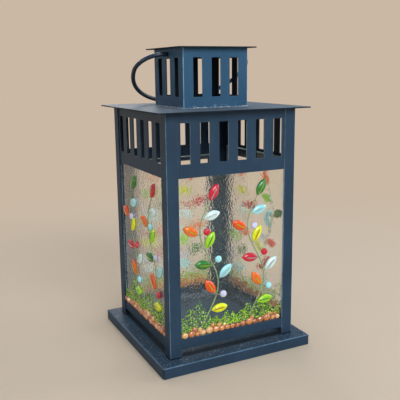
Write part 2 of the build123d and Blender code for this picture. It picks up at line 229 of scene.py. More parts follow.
def in_flue(n, place):
    """Painted shade on the inner faces of the chimney."""
    return n.product(n.less(n.ramp(n.far(place), *FLUE_FACE)), 0.9)


def cut_edges(n, facing, place, across, depth):
    """Upright cut edges in the front and back sheets, which get a painted highlight: they look along X,
    within across and past depth.
    """
    away = n.sizes(place)
    looks = n.ramp(facing["X"], 0.90, 0.97)
    within = n.less(n.ramp(away["X"], across - CUT_FADE, across))
    deep = n.ramp(away["Y"], depth - CUT_RISE, depth)
    return n.product(within, deep, looks)


# The chimney's colour is the same navy painted lighter, for the light that falls on it at the top.
NAVY, CHIMNEY_LIT_NAVY, WIRE_BLACK = srgb(45, 65, 84), srgb(50, 84, 110), srgb(33, 47, 63)
# Painted highlights along the folds, along the chimney's folds and along the cut edges.
FOLD_HIGHLIGHT, CHIMNEY_FOLD_HIGHLIGHT, CUT_EDGE_HIGHLIGHT = srgb(122, 154, 178), srgb(144, 176, 202), srgb(140, 172, 194)
# The second, dark colour is painted shade, and the dark of the base's corner seams.
DUST, SHADE_AND_DIRT = srgb(176, 186, 192), srgb(17, 21, 26)
BARE_STEEL, SCRAPED = srgb(158, 166, 172), srgb(126, 140, 150)


def make_paint(name, colour, dust=0.35, grit=1.0, film=0.03, wear=0.45, fold=0.6, edge=0.0005, rough=0.42,
               gloss=0.11, scuff=None, shade_and_dirt=None, cut=None, fold_highlight_colour=FOLD_HIGHLIGHT):
    """Satin stove paint on sheet steel: orange peel, up-facing dust, edge wear, painted highlights and shade.

    dust is all the dust, grit its specks and film its even part. wear goes with the sharp edges, whose round
    is edge, and fold with the folds, which get a painted highlight in the colour worn. scuff gives the
    heights between which scrapes end, grime the mask of painted shade and dark seams, and cut where the
    painted highlight on cut edges lies.
    """
    n = Nodes(name)
    place, own = n.place(), n.normal()
    rounded = n.rounded(edge)
    edges = n.less(n.ramp(n.dot(n.add("NewGeometry").outputs["Normal"], rounded), 0.75, 0.985))
    facing = n.sizes(own)
    most = n.maths("MAXIMUM", n.maths("MAXIMUM", facing["X"], facing["Y"]), facing["Z"])
    folds = n.less(n.ramp(most, 0.74, 0.97))
    up = n.ramp(n.parts(own)["Z"], 0.6, 0.95)

    broad = n.noise(place, 22.0, 3.0, 0.5)
    patches = n.noise(place, 90.0, 4.0, 0.6)
    flecks = n.noise(place, 860.0, 2.0, 0.5)
    peel = n.noise(place, 700.0, 3.0, 0.55)
    streaks = n.ramp(n.noise(n.scaled(place, (150.0, 150.0, 22.0)), 1.0, 3.0, 0.55), 0.55, 0.8)

    specks = n.ramp(flecks, 0.58, 0.68)
    settled = n.product(n.span(n.ramp(patches, 0.3, 0.7), 0.17 * grit, 0.68 * grit), specks)
    veil = n.product(n.span(n.ramp(broad, 0.3, 0.7), 0.6, 1.0), film)
    dusty = n.product(up, dust, n.maths("ADD", settled, veil))
    bare = n.product(edges, n.ramp(patches, 0.42, 0.58), wear)
    # Painted highlight along the folds, in patches.
    fold_highlight = n.product(folds, n.span(n.ramp(patches, 0.35, 0.65), 0.4, 1.0), fold)

    lighter = shaded(colour, 1.45)
    paint = n.mix(n.ramp(broad, 0.3, 0.7), shaded(colour, 0.80), colour)
    paint = n.mix(n.product(streaks, 0.22), paint, lighter)
    paint = n.mix(n.product(n.ramp(flecks, 0.52, 0.75), 0.2), paint, lighter)
    if scuff:
        near = n.less(n.ramp(n.parts(place)["Z"], *scuff))
        scrapes = n.ramp(n.noise(place, 210.0, 4.0, 0.65), 0.52, 0.66)
        paint = n.mix(n.product(near, scrapes, 0.5), paint, SCRAPED)
    paint = n.mix(fold_highlight, paint, fold_highlight_colour)
    # Painted highlight along the upright cut edges, in patches.
    if cut:
        cut_highlight = n.product(cut_edges(n, facing, place, *cut), n.span(n.ramp(patches, 0.3, 0.6), 0.5, 0.95))
        paint = n.mix(cut_highlight, paint, CUT_EDGE_HIGHLIGHT)
    paint = n.mix(dusty, paint, DUST)
    paint = n.mix(bare, paint, BARE_STEEL)
    shine = n.maths("ADD", n.span(broad, rough - 0.06, rough + 0.08), n.product(dusty, 0.3))
    # Painted shade, and the dark corner seams of the base, where the given mask lays them.
    if shade_and_dirt:
        shade_and_dirt_share = n.maths("MAXIMUM", shade_and_dirt(n, place), 0.0)
        paint = n.mix(shade_and_dirt_share, paint, SHADE_AND_DIRT)
        shine = n.maths("ADD", shine, n.product(shade_and_dirt_share, 0.35))
    n.set(Base_Color=paint, Roughness=shine, Normal=n.bump(peel, 0.10, 0.0004, rounded))
    n.set(Specular_IOR_Level=gloss, IOR=1.5)
    return n.material


def make_steel(name):
    """Bare bright-plated steel with fine brushing."""
    n = Nodes(name)
    place = n.place()
    lines = n.noise(n.scaled(place, (2600.0, 2600.0, 160.0)), 1.0, 3.0, 0.5)
    stain = n.noise(place, 160.0, 3.0, 0.6)
    tone = n.mix(n.ramp(stain, 0.35, 0.75), srgb(176, 178, 180), srgb(128, 128, 126))
    n.set(Base_Color=n.mix(n.product(lines, 0.35), tone, srgb(96, 97, 99)), Metallic=1.0)
    n.set(Roughness=n.span(lines, 0.26, 0.44), Normal=n.bump(lines, 0.12, 0.0001, n.rounded(0.0003)))
    return n.material


# GLASS_SHEEN tints the glass's reflections blue: a painted reflection tint for the cool light they mirror.
GLASS_INDEX, GLASS_SHEEN = 1.55, (0.62, 0.84, 1.0, 1.0)
GLASS_SHADOW = (0.95, 0.96, 0.95, 1.0)
RIPPLE_SCALES = (640.0, 640.0, 410.0)


def make_clear_glass(name, ripple):
    """Clear rolled glass with a fine ripple and faint finger marks; lamps shine through it."""
    n = Nodes(name)
    place = n.place()
    smear = n.noise(place, 48.0, 4.0, 0.6)
    n.set(Base_Color=n.mix(n.ramp(smear, 0.3, 0.8), srgb(254, 254, 252), srgb(248, 250, 248)))
    n.set(Roughness=n.span(n.ramp(smear, 0.55, 0.85), 0.0, 0.03))
    n.set(Transmission_Weight=1.0, IOR=GLASS_INDEX, Specular_Tint=GLASS_SHEEN)
    n.set(Normal=n.bump(n.noise(n.scaled(place, RIPPLE_SCALES), 1.0, 1.0, 0.5), 1.0, ripple))
    lamp = n.add("LightPath").outputs["Is Shadow Ray"]
    through = n.add("BsdfTransparent", Color=GLASS_SHADOW).outputs[0]
    n.surface(n.add("MixShader", _0=lamp, _1=n.shader.outputs[0], _2=through).outputs[0])
    return n.material


def make_glass_edge(name):
    """The ground edge of a pane, pale and matt, with small shells broken out of it."""
    n = Nodes(name)
    shells = n.noise(n.place(), 900.0, 3.0, 0.6)
    tone = n.mix(n.ramp(shells, 0.35, 0.7), srgb(196, 216, 206), srgb(236, 243, 239))
    n.set(Base_Color=tone, Roughness=n.span(shells, 0.3, 0.6), Normal=n.bump(shells, 0.4, 0.0003))
    return n.material


# The first colour is painted shade, which darkens each piece towards its rim.
PAINTED_RIM_SHADE, CLOUD = (0.24, 0.19, 0.18, 1.0), (1.0, 0.98, 0.92, 1.0)
GLOW_RADIUS, GLOW_DEPTH = (1.0, 0.95, 0.9), 0.0045


def make_fused_glass(name, glow, index, coat):
    """Opal glass melted on to a pane: the piece's own tint with painted shade towards its rim, clouds and
    seeds.
    """
    n = Nodes(name)
    place = n.place()
    tint = n.add("Attribute", {"attribute_name": "tint"}).outputs["Color"]
    crown = n.add("Attribute", {"attribute_name": "crown"}).outputs["Fac"]
    clouds = n.noise(place, 330.0, 4.0, 0.55)
    seeds = n.ramp(n.noise(place, 1700.0, 1.0, 0.4), 0.70, 0.76)
    # Painted shade: each piece grows darker towards its rim.
    rim = n.mix(1.0, tint, PAINTED_RIM_SHADE, "MULTIPLY")
    body = n.mix(n.ramp(crown, 0.02, 0.42), rim, tint)
    body = n.mix(n.product(n.ramp(clouds, 0.5, 0.85), 0.14), body, CLOUD)
    body = n.mix(n.product(seeds, 0.5), body, rim)
    n.set(Base_Color=body, Roughness=n.span(clouds, 0.05, 0.11))
    n.set(Normal=n.bump(clouds, 0.08, 0.0003), IOR=index)
    n.set(Coat_Weight=coat, Coat_Roughness=0.03)
    n.set(Subsurface_Weight=glow, Subsurface_Radius=GLOW_RADIUS, Subsurface_Scale=GLOW_DEPTH)
    return n.material


def make_weld(name, paint):
    """Rough weld metal, painted over, with the paint broken off its high spots."""
    n = Nodes(name)
    place = n.place()
    lumps = n.noise(place, 420.0, 4.0, 0.65)
    chipped = n.ramp(n.noise(place, 900.0, 3.0, 0.6), 0.45, 0.56)
    tone = n.mix(chipped, paint, srgb(196, 202, 204))
    n.set(Base_Color=n.mix(n.ramp(lumps, 0.55, 0.8), tone, srgb(140, 148, 152)))
    n.set(Roughness=n.span(lumps, 0.5, 0.8), Normal=n.bump(lumps, 0.6, 0.0004))
    return n.material


PLATE = dict(dust=0.7, grit=0.45, film=0.3, wear=0.6, edge=0.0006, gloss=0.1)
frame_paint = make_paint("frame_paint", NAVY, shade_and_dirt=on_frame, cut=FRAME_CUTS)
base_paint = make_paint("base_paint", NAVY, dust=0.8, film=0.0, shade_and_dirt=on_base)
roof_paint = make_paint("roof_paint", NAVY, shade_and_dirt=at_rim(ROOF_HALF * MM), **PLATE)
cap_paint = make_paint("cap_paint", NAVY, shade_and_dirt=at_rim(CAP_HALF * MM), **PLATE)
# The chimney is painted lighter than the rest, with a stronger painted highlight on its folds.
chimney_paint = make_paint(
    "chimney_paint", CHIMNEY_LIT_NAVY, wear=0.5, fold=1.0, scuff=CHIMNEY_SCUFF, shade_and_dirt=in_flue,
    cut=CHIMNEY_CUTS, fold_highlight_colour=CHIMNEY_FOLD_HIGHLIGHT,
)
wire_paint = make_paint(
    "wire_paint", WIRE_BLACK, dust=0.2, wear=0.0, fold=0.0, edge=0.0004, rough=0.3, gloss=0.35,
)
plated_steel = make_steel("plated_steel")
clear_glass = make_clear_glass("clear_glass", ripple=0.00002)
rolled_glass = make_clear_glass("rolled_glass", ripple=0.00018)
glass_edge = make_glass_edge("glass_edge")
fused_glass = make_fused_glass("fused_glass", glow=0.9, index=1.5, coat=0.4)
pebble_glass = make_fused_glass("pebble_glass", glow=0.9, index=1.85, coat=1.0)
frit_glass = make_fused_glass("frit_glass", glow=0.15, index=1.5, coat=0.0)
weld_metal = make_weld("weld_metal", NAVY)

# Meshes


class Heap:
    """Points and faces of one piece, with a tint and a height on its crown at each point."""

    def __init__(self):
        self.points, self.faces, self.tints, self.crowns = [], [], [], []

    def add(self, points, faces, tint=(1, 1, 1, 1), crowns=None, under=0):
        """More of the piece; its last faces, as many as under says, lie on the pane and keep their tint."""
        start = len(self.points)
        self.points += points
        for order, face in enumerate(faces):
            self.faces.append([start + index for index in face])
            domed = crowns and order < len(faces) - under
            self.crowns += [crowns[index] if domed else 1.0 for index in face]
        self.tints += [tint] * len(points)

    def make(self, name, materials, body, slot, replaced=None, tinted=False, sharp=40.0, shade=None):
        mesh = bpy.data.meshes.new(name)
        mesh.from_pydata(self.points, [], self.faces)
        for material in materials:
            mesh.materials.append(material)
        mesh.polygons.foreach_set("use_smooth", [True] * len(mesh.polygons))
        mesh.set_sharp_from_angle(angle=math.radians(sharp))
        if tinted:
            colours = mesh.attributes.new("tint", "FLOAT_COLOR", "POINT")
            colours.data.foreach_set("color", [value for tint in self.tints for value in tint])
            heights = mesh.attributes.new("crown", "FLOAT", "CORNER")
            heights.data.foreach_set("value", self.crowns)
        if shade:
            mesh.polygons.foreach_set("material_index", shade)
        mesh.update()
        piece = bpy.data.objects.new(name, mesh)
        bpy.context.scene.collection.objects.link(piece)
        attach(piece, body)
        if replaced:
            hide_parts(replaced)


def on_side(side, face, points):
    """Points given as across, up and out from a face, in millimetres, turned to their side of the lantern."""
    turn = Matrix.Rotation(math.radians(SIDES[side]), 3, "Z")
    return [turn @ Vector((u, -(face + out), v)) * MM for u, v, out in points]


def laid(points, x, z, heading):
    """A form that lies flat about the origin, moved to a place on the pane and turned to a heading."""
    turn = math.radians(heading)
    c, s = math.cos(turn), math.sin(turn)
    return [(x + c * a - s * b, z + s * a + c * b, h) for a, b, h in points]


def moved(x, z, heading, length):
    """A spot on the pane, so far along a heading."""
    turn = math.radians(heading)
    return x + length * math.cos(turn), z + length * math.sin(turn)


# A leaf: its grid, and how blunt its tips, its crown and its sides are
LEAF_ROWS, LEAF_COLUMNS = 22, 12
LEAF_TIP, LEAF_CROWN, LEAF_SIDE = 3.2, 0.55, 0.75


def leaf_top(a):
    """The height of a leaf's crown, so far along from its middle."""
    return LEAF_RISE * (1 - abs(2 * a / LEAF_LENGTH) ** LEAF_TIP) ** LEAF_CROWN


def leaf_form():
    """A pointed oval of glass with a soft crown: points, faces, crown heights and count of faces under."""
    half, wide = LEAF_LENGTH / 2, LEAF_WIDTH / 2
    radius = (half ** 2 + wide ** 2) / (2 * wide)
    points, crowns, faces = [(-half, 0.0, 0.0)], [0.0], []
    for row in range(1, LEAF_ROWS):
        a = -half * math.cos(math.pi * row / LEAF_ROWS)
        width = wide - (radius - math.sqrt(radius ** 2 - a ** 2))
        top = leaf_top(a)
        for column in range(LEAF_COLUMNS + 1):
            turn = math.pi * column / LEAF_COLUMNS
            height = math.sin(turn) ** LEAF_SIDE
            points.append((a, -width * math.cos(turn), top * height))
            crowns.append(height * top / LEAF_RISE)
    points.append((half, 0.0, 0.0))
    crowns.append(0.0)
    last = len(points) - 1
    step = LEAF_COLUMNS + 1
    under = [(0, step, 1)]
    for row in range(LEAF_ROWS - 2):
        low = 1 + row * step
        for column in range(LEAF_COLUMNS):
            faces.append((low + column, low + step + column, low + step + column + 1, low + column + 1))
        under.append((low + LEAF_COLUMNS, low + step + LEAF_COLUMNS, low + step, low))
    for column in range(LEAF_COLUMNS):
        faces.append((0, 1 + column, 2 + column))
        final = last - step + column
        faces.append((final, last, final + 1))
    under.append((last - step, last - 1, last))
    return points, faces + under, crowns, len(under)


# The rib on a leaf: its place along the leaf, its bow, how deep it sits, and its radius
RIB_STEPS, RIB_START, RIB_REACH = 12, -0.40, 0.66
RIB_BOW, RIB_SINK, RIB_THIN, RIB_SWELL, RIB_TAPER = 0.35, 0.08, 0.18, 0.3, 0.12


def rib_form():
    """The line of a rib along the crown of a leaf, and its radius at each point."""
    line, thick = [], []
    for step in range(RIB_STEPS + 1):
        share = step / RIB_STEPS
        a = LEAF_LENGTH * (RIB_START + RIB_REACH * share)
        line.append((a, RIB_BOW * math.sin(math.pi * share), leaf_top(a) - RIB_SINK))
        thick.append(RIB_THIN + RIB_SWELL * math.sin(math.pi * (RIB_TAPER + (1 - 2 * RIB_TAPER) * share)))
    return line, thick


def button_form(diameter, rise, sides=22, rings=7):
    """A round drop of glass that lies flat: points, faces and crown heights."""
    points, crowns, faces = [], [], []
    for ring in range(rings):
        turn = math.pi / 2 * ring / rings
        reach, height = diameter / 2 * math.cos(turn) ** 0.75, math.sin(turn) ** 0.85
        for side in range(sides):
            angle = 2 * math.pi * side / sides
            points.append((reach * math.cos(angle), reach * math.sin(angle), rise * height))
            crowns.append(height)
    points.append((0.0, 0.0, rise))
    crowns.append(1.0)
    top = len(points) - 1
    for ring in range(rings - 1):
        for side in range(sides):
            low, near = ring * sides, (side + 1) % sides
            faces.append((low + side, low + near, low + sides + near, low + sides + side))
    for side in range(sides):
        faces.append((top - sides + side, top - sides + (side + 1) % sides, top))
    faces.append(tuple(reversed(range(sides))))
    return points, faces, crowns


def tube_form(route, radius, sides=8):
    """A round rod along a list of points, closed at its ends; it has one radius, or one for each point."""
    points, faces = [], []
    across = None
    for index, spot in enumerate(route):
        here = Vector(spot)
        ahead = Vector(route[min(index + 1, len(route) - 1)])
        behind = Vector(route[max(index - 1, 0)])
        along = (ahead - behind).normalized()
        if across is None:
            across = along.orthogonal().normalized()
        across = (across - along * across.dot(along)).normalized()
        other = along.cross(across)
        thick = radius[index] if isinstance(radius, list) else radius
        for side in range(sides):
            angle = 2 * math.pi * side / sides
            points.append(tuple(here + thick * (math.cos(angle) * across + math.sin(angle) * other)))
    for index in range(len(route) - 1):
        for side in range(sides):
            low, near = index * sides, (side + 1) % sides
            faces.append((low + side, low + near, low + sides + near, low + sides + side))
    faces.append(tuple(reversed(range(sides))))
    faces.append(tuple(range(len(points) - sides, len(points))))
    return points, faces


CHIP_POINTS = ((1, 0, 0.4), (0, 1, 0.4), (-1, 0, 0.4), (0, -1, 0.4), (0, 0, 1.0), (0, 0, 0))
CHIP_FACES = ((0, 1, 4), (1, 2, 4), (2, 3, 4), (3, 0, 4), (1, 0, 5), (2, 1, 5), (3, 2, 5), (0, 3, 5))


def chip_form(draw, size):
    """A crushed grain of glass: an uneven eight-faced lump, flattened on to the pane."""
    points = []
    for a, b, h in CHIP_POINTS:
        points.append((
            size * (a * draw.uniform(0.7, 1.2) + draw.uniform(-0.15, 0.15)),
            size * (b * draw.uniform(0.7, 1.2) + draw.uniform(-0.15, 0.15)),
            size * h * draw.uniform(0.8, 1.3),
        ))
    return points, CHIP_FACES


# Colours of the fused glass
ORANGE, DEEP_ORANGE = srgb(252, 112, 10), srgb(238, 84, 10)
YELLOW, MINT = srgb(228, 236, 8), srgb(214, 242, 232)
LIME, GREEN = srgb(158, 216, 24), srgb(44, 126, 40)
CRIMSON, AQUA = srgb(204, 22, 48), srgb(166, 228, 232)
PEARL, STEM = srgb(206, 204, 230), srgb(128, 146, 104)
AMBERS = (srgb(220, 144, 76), srgb(198, 120, 56), srgb(236, 176, 114), srgb(208, 132, 64), srgb(180, 104, 46))
FRITS = (
    srgb(36, 92, 16), srgb(92, 156, 16), srgb(24, 62, 20), srgb(132, 190, 18),
    srgb(178, 220, 24), srgb(62, 122, 18), srgb(150, 204, 14), srgb(216, 236, 70),
)
LEAF_TINTS = (ORANGE, YELLOW, GREEN, MINT, DEEP_ORANGE, LIME, CRIMSON, AQUA)
RIB_TINTS = (YELLOW, DEEP_ORANGE, LIME, PEARL, YELLOW, GREEN, PEARL, MINT)
BERRY_TINTS = (CRIMSON, PEARL, AQUA)

# How deep the relief is melted into the pane, and its gap to the sides of the window
SINK, RELIEF_GAP = 0.1, 0.6
# Vines and stalks: steps along a vine and below its first leaf, radii, and heights of their middles
VINE_STEPS, VINE_ROOT, VINE_RADIUS, VINE_SIDES, VINE_LIFT = 60, 7, 0.62, 10, 0.32
STALK_STEPS, STALK_LIFT, STALK_CLIMB, LEAF_STALK, BERRY_STALK = 4, 0.3, 0.06, 0.5, 0.42
# How far a leaf's stalk runs into the leaf, and how far from its middle a berry's stalk ends
LEAF_BITE, BERRY_BITE = 1.2, 2.2


def vine_layout(window, head):
    """The two vines of a pane: the points of each vine's line, and the spots of its leaves and berries."""
    lane = (window / 2 - RELIEF_MARGIN) / 2
    sway = lane - (LEAF_STEM + LEAF_LENGTH) * math.sin(math.radians(LEAF_SPREAD))
    foot = WINDOW_BOTTOM + VINE_FOOT
    height = head - RELIEF_MARGIN - LEAF_STEM - LEAF_LENGTH - foot
    vines = []
    for middle in (-lane, lane):
        leaves, berries = [], []
        for number in range(LEAF_COUNT + 1):
            turn = 2 * math.pi * number / LEAF_COUNT
            x, z = middle + sway * math.sin(turn), foot + height * number / LEAF_COUNT
            heading = math.degrees(math.atan2(height, 2 * math.pi * sway * math.cos(turn)))
            if number == LEAF_COUNT:
                leaves.append((x, z, heading))
            elif number % 2:
                leaves.append((x, z, heading + LEAF_SPREAD))
                berries.append((x, z, heading - BERRY_SPREAD))
            else:
                leaves.append((x, z, heading - LEAF_SPREAD))
        line = []
        for step in range(-VINE_ROOT, VINE_STEPS + 1):
            share = step / VINE_STEPS
            line.append((middle + sway * math.sin(2 * math.pi * share), foot + height * share))
        vines.append((line, leaves, berries))
    return vines


def stalk_form(x, z, heading, length, climb, radius):
    """A short stalk from a spot on the vine, which may climb on its way."""
    line = []
    for step in range(STALK_STEPS + 1):
        spot = moved(x, z, heading, length * step / STALK_STEPS)
        line.append((*spot, STALK_LIFT + climb * step))
    return tube_form(line, radius)


def lay_leaves(leaves, vines, side, seat, spots, first):
    """The leaves of one vine with their ribs, and the stalks that carry them."""
    leaf, leaf_faces, crowns, under = leaf_form()
    rib, thick = rib_form()
    for number, (x, z, heading) in enumerate(spots):
        choice = (number * 3 + first) % len(LEAF_TINTS)
        u, v = moved(x, z, heading, LEAF_STEM + LEAF_LENGTH / 2)
        placed = on_side(side, seat, laid(leaf, u, v, heading))
        leaves.add(placed, leaf_faces, LEAF_TINTS[choice], crowns, under)
        points, faces = tube_form(laid(rib, u, v, heading), thick)
        leaves.add(on_side(side, seat, points), faces, RIB_TINTS[choice])
        points, faces = stalk_form(x, z, heading, LEAF_STEM + LEAF_BITE, STALK_CLIMB, LEAF_STALK)
        vines.add(on_side(side, seat, points), faces, STEM)


def lay_berries(berries, vines, side, seat, spots, first):
    """The berries of one vine, and the stalks that carry them."""
    berry, berry_faces, crowns = button_form(BERRY_DIAMETER, BERRY_RISE)
    for number, (x, z, heading) in enumerate(spots):
        u, v = moved(x, z, heading, BERRY_STEM)
        placed = on_side(side, seat, laid(berry, u, v, heading))
        berries.add(placed, berry_faces, BERRY_TINTS[(number + first) % len(BERRY_TINTS)], crowns, 1)
        points, faces = stalk_form(x, z, heading, BERRY_STEM - BERRY_BITE, 0.0, BERRY_STALK)
        vines.add(on_side(side, seat, points), faces, STEM)


# Pebbles in a row: sizes, steps as a share of the size, width left at the end, lift, and height to width
PEBBLE_SIZES, PEBBLE_STEPS, PEBBLE_END, PEBBLE_LIFT, PEBBLE_TALL = (5.2, 8.2), (0.93, 1.0), 3.0, 0.3, 0.9
# Smaller pebbles in the dips: how many of the dips have one, sizes, and what lifts them
DIP_SHARE, DIP_SIZES, DIP_OVER, DIP_LIFT = 0.62, (3.8, 6.0), 0.42, 0.30
# All pebbles: rise as a share of the size, unevenness, tilt, and their mesh
PEBBLE_RISES, PEBBLE_UNEVEN, PEBBLE_TILT, PEBBLE_SIDES, PEBBLE_RINGS = (0.36, 0.46), (0.985, 1.015), 15, 16, 6


def lay_pebbles(drops, side, seat, reach, draw):
    """A border of glass pebbles along the foot of a pane, with smaller ones in some of the dips between."""
    row = []
    u = -reach
    while u < reach - PEBBLE_END:
        size = min(draw.uniform(*PEBBLE_SIZES), reach - u)
        row.append((u + size / 2, size))
        u += size * draw.uniform(*PEBBLE_STEPS)
    pebbles = []
    for middle, size in row:
        pebbles.append((middle, WINDOW_BOTTOM + PEBBLE_LIFT + size * PEBBLE_TALL / 2, size, PEBBLE_TALL))
    for (first, first_size), (second, second_size) in zip(row, row[1:]):
        if draw.random() < DIP_SHARE:
            size = draw.uniform(*DIP_SIZES)
            lift = WINDOW_BOTTOM + DIP_OVER * (first_size + second_size) + DIP_LIFT * size
            pebbles.append(((first + second) / 2, lift, size, 1.0))
    for middle, lift, size, tall in pebbles:
        rise = size * draw.uniform(*PEBBLE_RISES)
        points, faces, crowns = button_form(size, rise, PEBBLE_SIDES, PEBBLE_RINGS)
        points = [(a, b * tall * draw.uniform(*PEBBLE_UNEVEN), h) for a, b, h in points]
        spot = laid(points, middle, lift, draw.uniform(-PEBBLE_TILT, PEBBLE_TILT))
        drops.add(on_side(side, seat, spot), faces, AMBERS[draw.randrange(len(AMBERS))], crowns, 1)


# Frit: grains on a pane, their sizes, gap to the sides, foot of the heap, and height and swing of its crest
FRIT_COUNT, FRIT_SIZES, FRIT_GAP = 2600, (0.3, 0.75), 0.9
FRIT_FOOT, FRIT_CREST, FRIT_SWING = 5.5, 15.0, 18.0
# How fast the heap thins towards its crest
FRIT_THIN = 1.35


def lay_frit(frit, side, seat, reach, draw):
    """Crushed glass heaped in soft mounds above the pebbles, thinner towards the top."""
    phase = draw.uniform(0, 6)
    for _ in range(FRIT_COUNT):
        u = draw.uniform(-reach + FRIT_GAP, reach - FRIT_GAP)
        mound = noise.noise((u / 17.0, phase, 0.5)) + 0.45 * noise.noise((u / 5.0, phase, 7.5))
        crest = FRIT_CREST + FRIT_SWING * mound
        v = WINDOW_BOTTOM + FRIT_FOOT + crest * draw.random() ** FRIT_THIN
        points, faces = chip_form(draw, draw.uniform(*FRIT_SIZES))
        spot = laid(points, u, v, draw.uniform(0, 360))
        frit.add(on_side(side, seat, spot), faces, FRITS[draw.randrange(len(FRITS))])


def dress_pane(pane, side, face, window, head, body, shift):
    """The relief on one pane: leaves, berries, the vines between them, frit at their feet and pebbles."""
    leaves, berries, vines, frit, drops = Heap(), Heap(), Heap(), Heap(), Heap()
    draw = random.Random(11 + shift)
    seat = face - SINK
    for vine, (line, leaf_spots, berry_spots) in enumerate(vine_layout(window, head)):
        lay_leaves(leaves, vines, side, seat, leaf_spots, vine * 4 + shift)
        lay_berries(berries, vines, side, seat, berry_spots, vine + shift)
        points, faces = tube_form([(u, v, VINE_LIFT) for u, v in line], VINE_RADIUS, VINE_SIDES)
        vines.add(on_side(side, seat, points), faces, STEM)
    reach = window / 2 - RELIEF_GAP
    lay_pebbles(drops, side, seat, reach, draw)
    lay_frit(frit, side, seat, reach, draw)
    leaves.make(f"{pane}_leaf_relief", [fused_glass], body, "leaf_glass", f"{pane}_leaves", True)
    berries.make(f"{pane}_berry_relief", [fused_glass], body, "berry_glass", f"{pane}_berries", True)
    vines.make(f"{pane}_vines", [fused_glass], body, "leaf_glass", None, True)
    drops.make(f"{pane}_drops", [pebble_glass], body, "berry_glass", None, True)
    frit.make(f"{pane}_frit", [frit_glass], body, "leaf_glass", None, True, 20.0)


# The ground bevel round the inner face of a pane
ARRIS = 0.7
# The pane's grid, the height of its ripple, and the grid steps in from its edge at which the ripple is full
PANE_GRID, RIPPLE_HEIGHT, RIPPLE_INSET = 1.1, 0.05, 3
# Materials of the pane's faces, by their order
OUTER, INNER, EDGE = 0, 1, 2


def make_glass(pane, side, face, body, seed):
    """One pane of rolled glass: flat outside, rippled inside, with ground edges."""
    low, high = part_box(pane)
    width = max(high.x - low.x, high.y - low.y) / MM
    bottom, top = low.z / MM, high.z / MM
    middle, tall = (bottom + top) / 2, top - bottom
    across, up = int(width / PANE_GRID), int(tall / PANE_GRID)
    points = []
    for row in range(up + 1):
        v = middle + (tall - 2 * ARRIS) * (row / up - 0.5)
        for column in range(across + 1):
            u = (width - 2 * ARRIS) * (column / across - 0.5)
            inset = min(column, across - column, row, up - row, RIPPLE_INSET) / RIPPLE_INSET
            ripple = noise.noise((u / 4.2, v / 5.0, seed)) + 0.6 * noise.noise((u / 2.4, v / 2.8, seed + 9))
            points.append((u, v, -GLASS_THICK + RIPPLE_HEIGHT * inset * (ripple + 1)))
    step = across + 1
    faces, shade = [], []
    for row in range(up):
        for column in range(across):
            a = row * step + column
            faces.append((a, a + step, a + step + 1, a + 1))
            shade.append(INNER)
    border = list(range(step)) + [row * step + across for row in range(1, up + 1)]
    border += [up * step + column for column in range(across - 1, -1, -1)]
    border += [row * step for row in range(up - 1, 0, -1)]
    wider, taller = width / (width - 2 * ARRIS), tall / (tall - 2 * ARRIS)
    rings = [border]
    for depth in (ARRIS - GLASS_THICK, 0.0):
        rings.append(list(range(len(points), len(points) + len(border))))
        for index in border:
            u, v, _ = points[index]
            points.append((u * wider, middle + (v - middle) * taller, depth))
    for inner, outer in zip(rings, rings[1:]):
        for order in range(len(border)):
            after = (order + 1) % len(border)
            faces.append((inner[order], inner[after], outer[after], outer[order]))
            shade.append(EDGE)
    faces.append(tuple(rings[-1]))
    shade.append(OUTER)
    heap = Heap()
    heap.add(on_side(side, face, points), faces)
    glasses = [clear_glass, rolled_glass, glass_edge]
    heap.make(f"{pane}_glass", glasses, body, "clear_glass", pane, shade=shade)


PIVOT_STEPS, BEND_STEPS, BOW_STEPS, WIRE_SIDES = 8, 24, 40, 24


def make_wire():
    """The round wire of the handle: straight pivots, two wide bends and a bow."""
    radius = HANDLE_REACH / 2 + HANDLE_PIVOT ** 2 / (2 * (HANDLE_REACH - 2 * HANDLE_BEND))
    bow = HANDLE_REACH - radius
    start = math.atan2(HANDLE_BEND - bow, HANDLE_PIVOT)
    half = []
    for step in range(PIVOT_STEPS):
        half.append((HANDLE_TAIL + (HANDLE_PIVOT - HANDLE_TAIL) * step / PIVOT_STEPS, 0.0))
    for step in range(BEND_STEPS + 1):
        angle = -math.pi / 2 + (start + math.pi / 2) * step / BEND_STEPS
        across, up = HANDLE_BEND * math.cos(angle), HANDLE_BEND * math.sin(angle)
        half.append((HANDLE_PIVOT + across, HANDLE_BEND + up))
    for step in range(1, BOW_STEPS + 1):
        angle = start + (math.pi / 2 - start) * step / BOW_STEPS
        half.append((radius * math.cos(angle), bow + radius * math.sin(angle)))
    flat = half + [(-x, y) for x, y in reversed(half[:-1])]
    droop = math.radians(HANDLE_DROOP)
    route = [(x, y * math.cos(droop), HANDLE_AXIS - y * math.sin(droop)) for x, y in flat]
    points, faces = tube_form(route, WIRE_RADIUS, WIRE_SIDES)
    heap = Heap()
    heap.add([Vector(point) * MM for point in points], faces)
    heap.make("handle_wire", [wire_paint], "handle", "black_paint", "handle")


# The weld's steps along a side, its place, how far it strays, and its radius
WELD_STEPS, WELD_OUT, WELD_LIFT, WELD_STRAY = 90, 0.15, 0.05, 0.12
WELD_RADIUS, WELD_SWELL, WELD_LEAST = 0.55, 0.35, 0.3


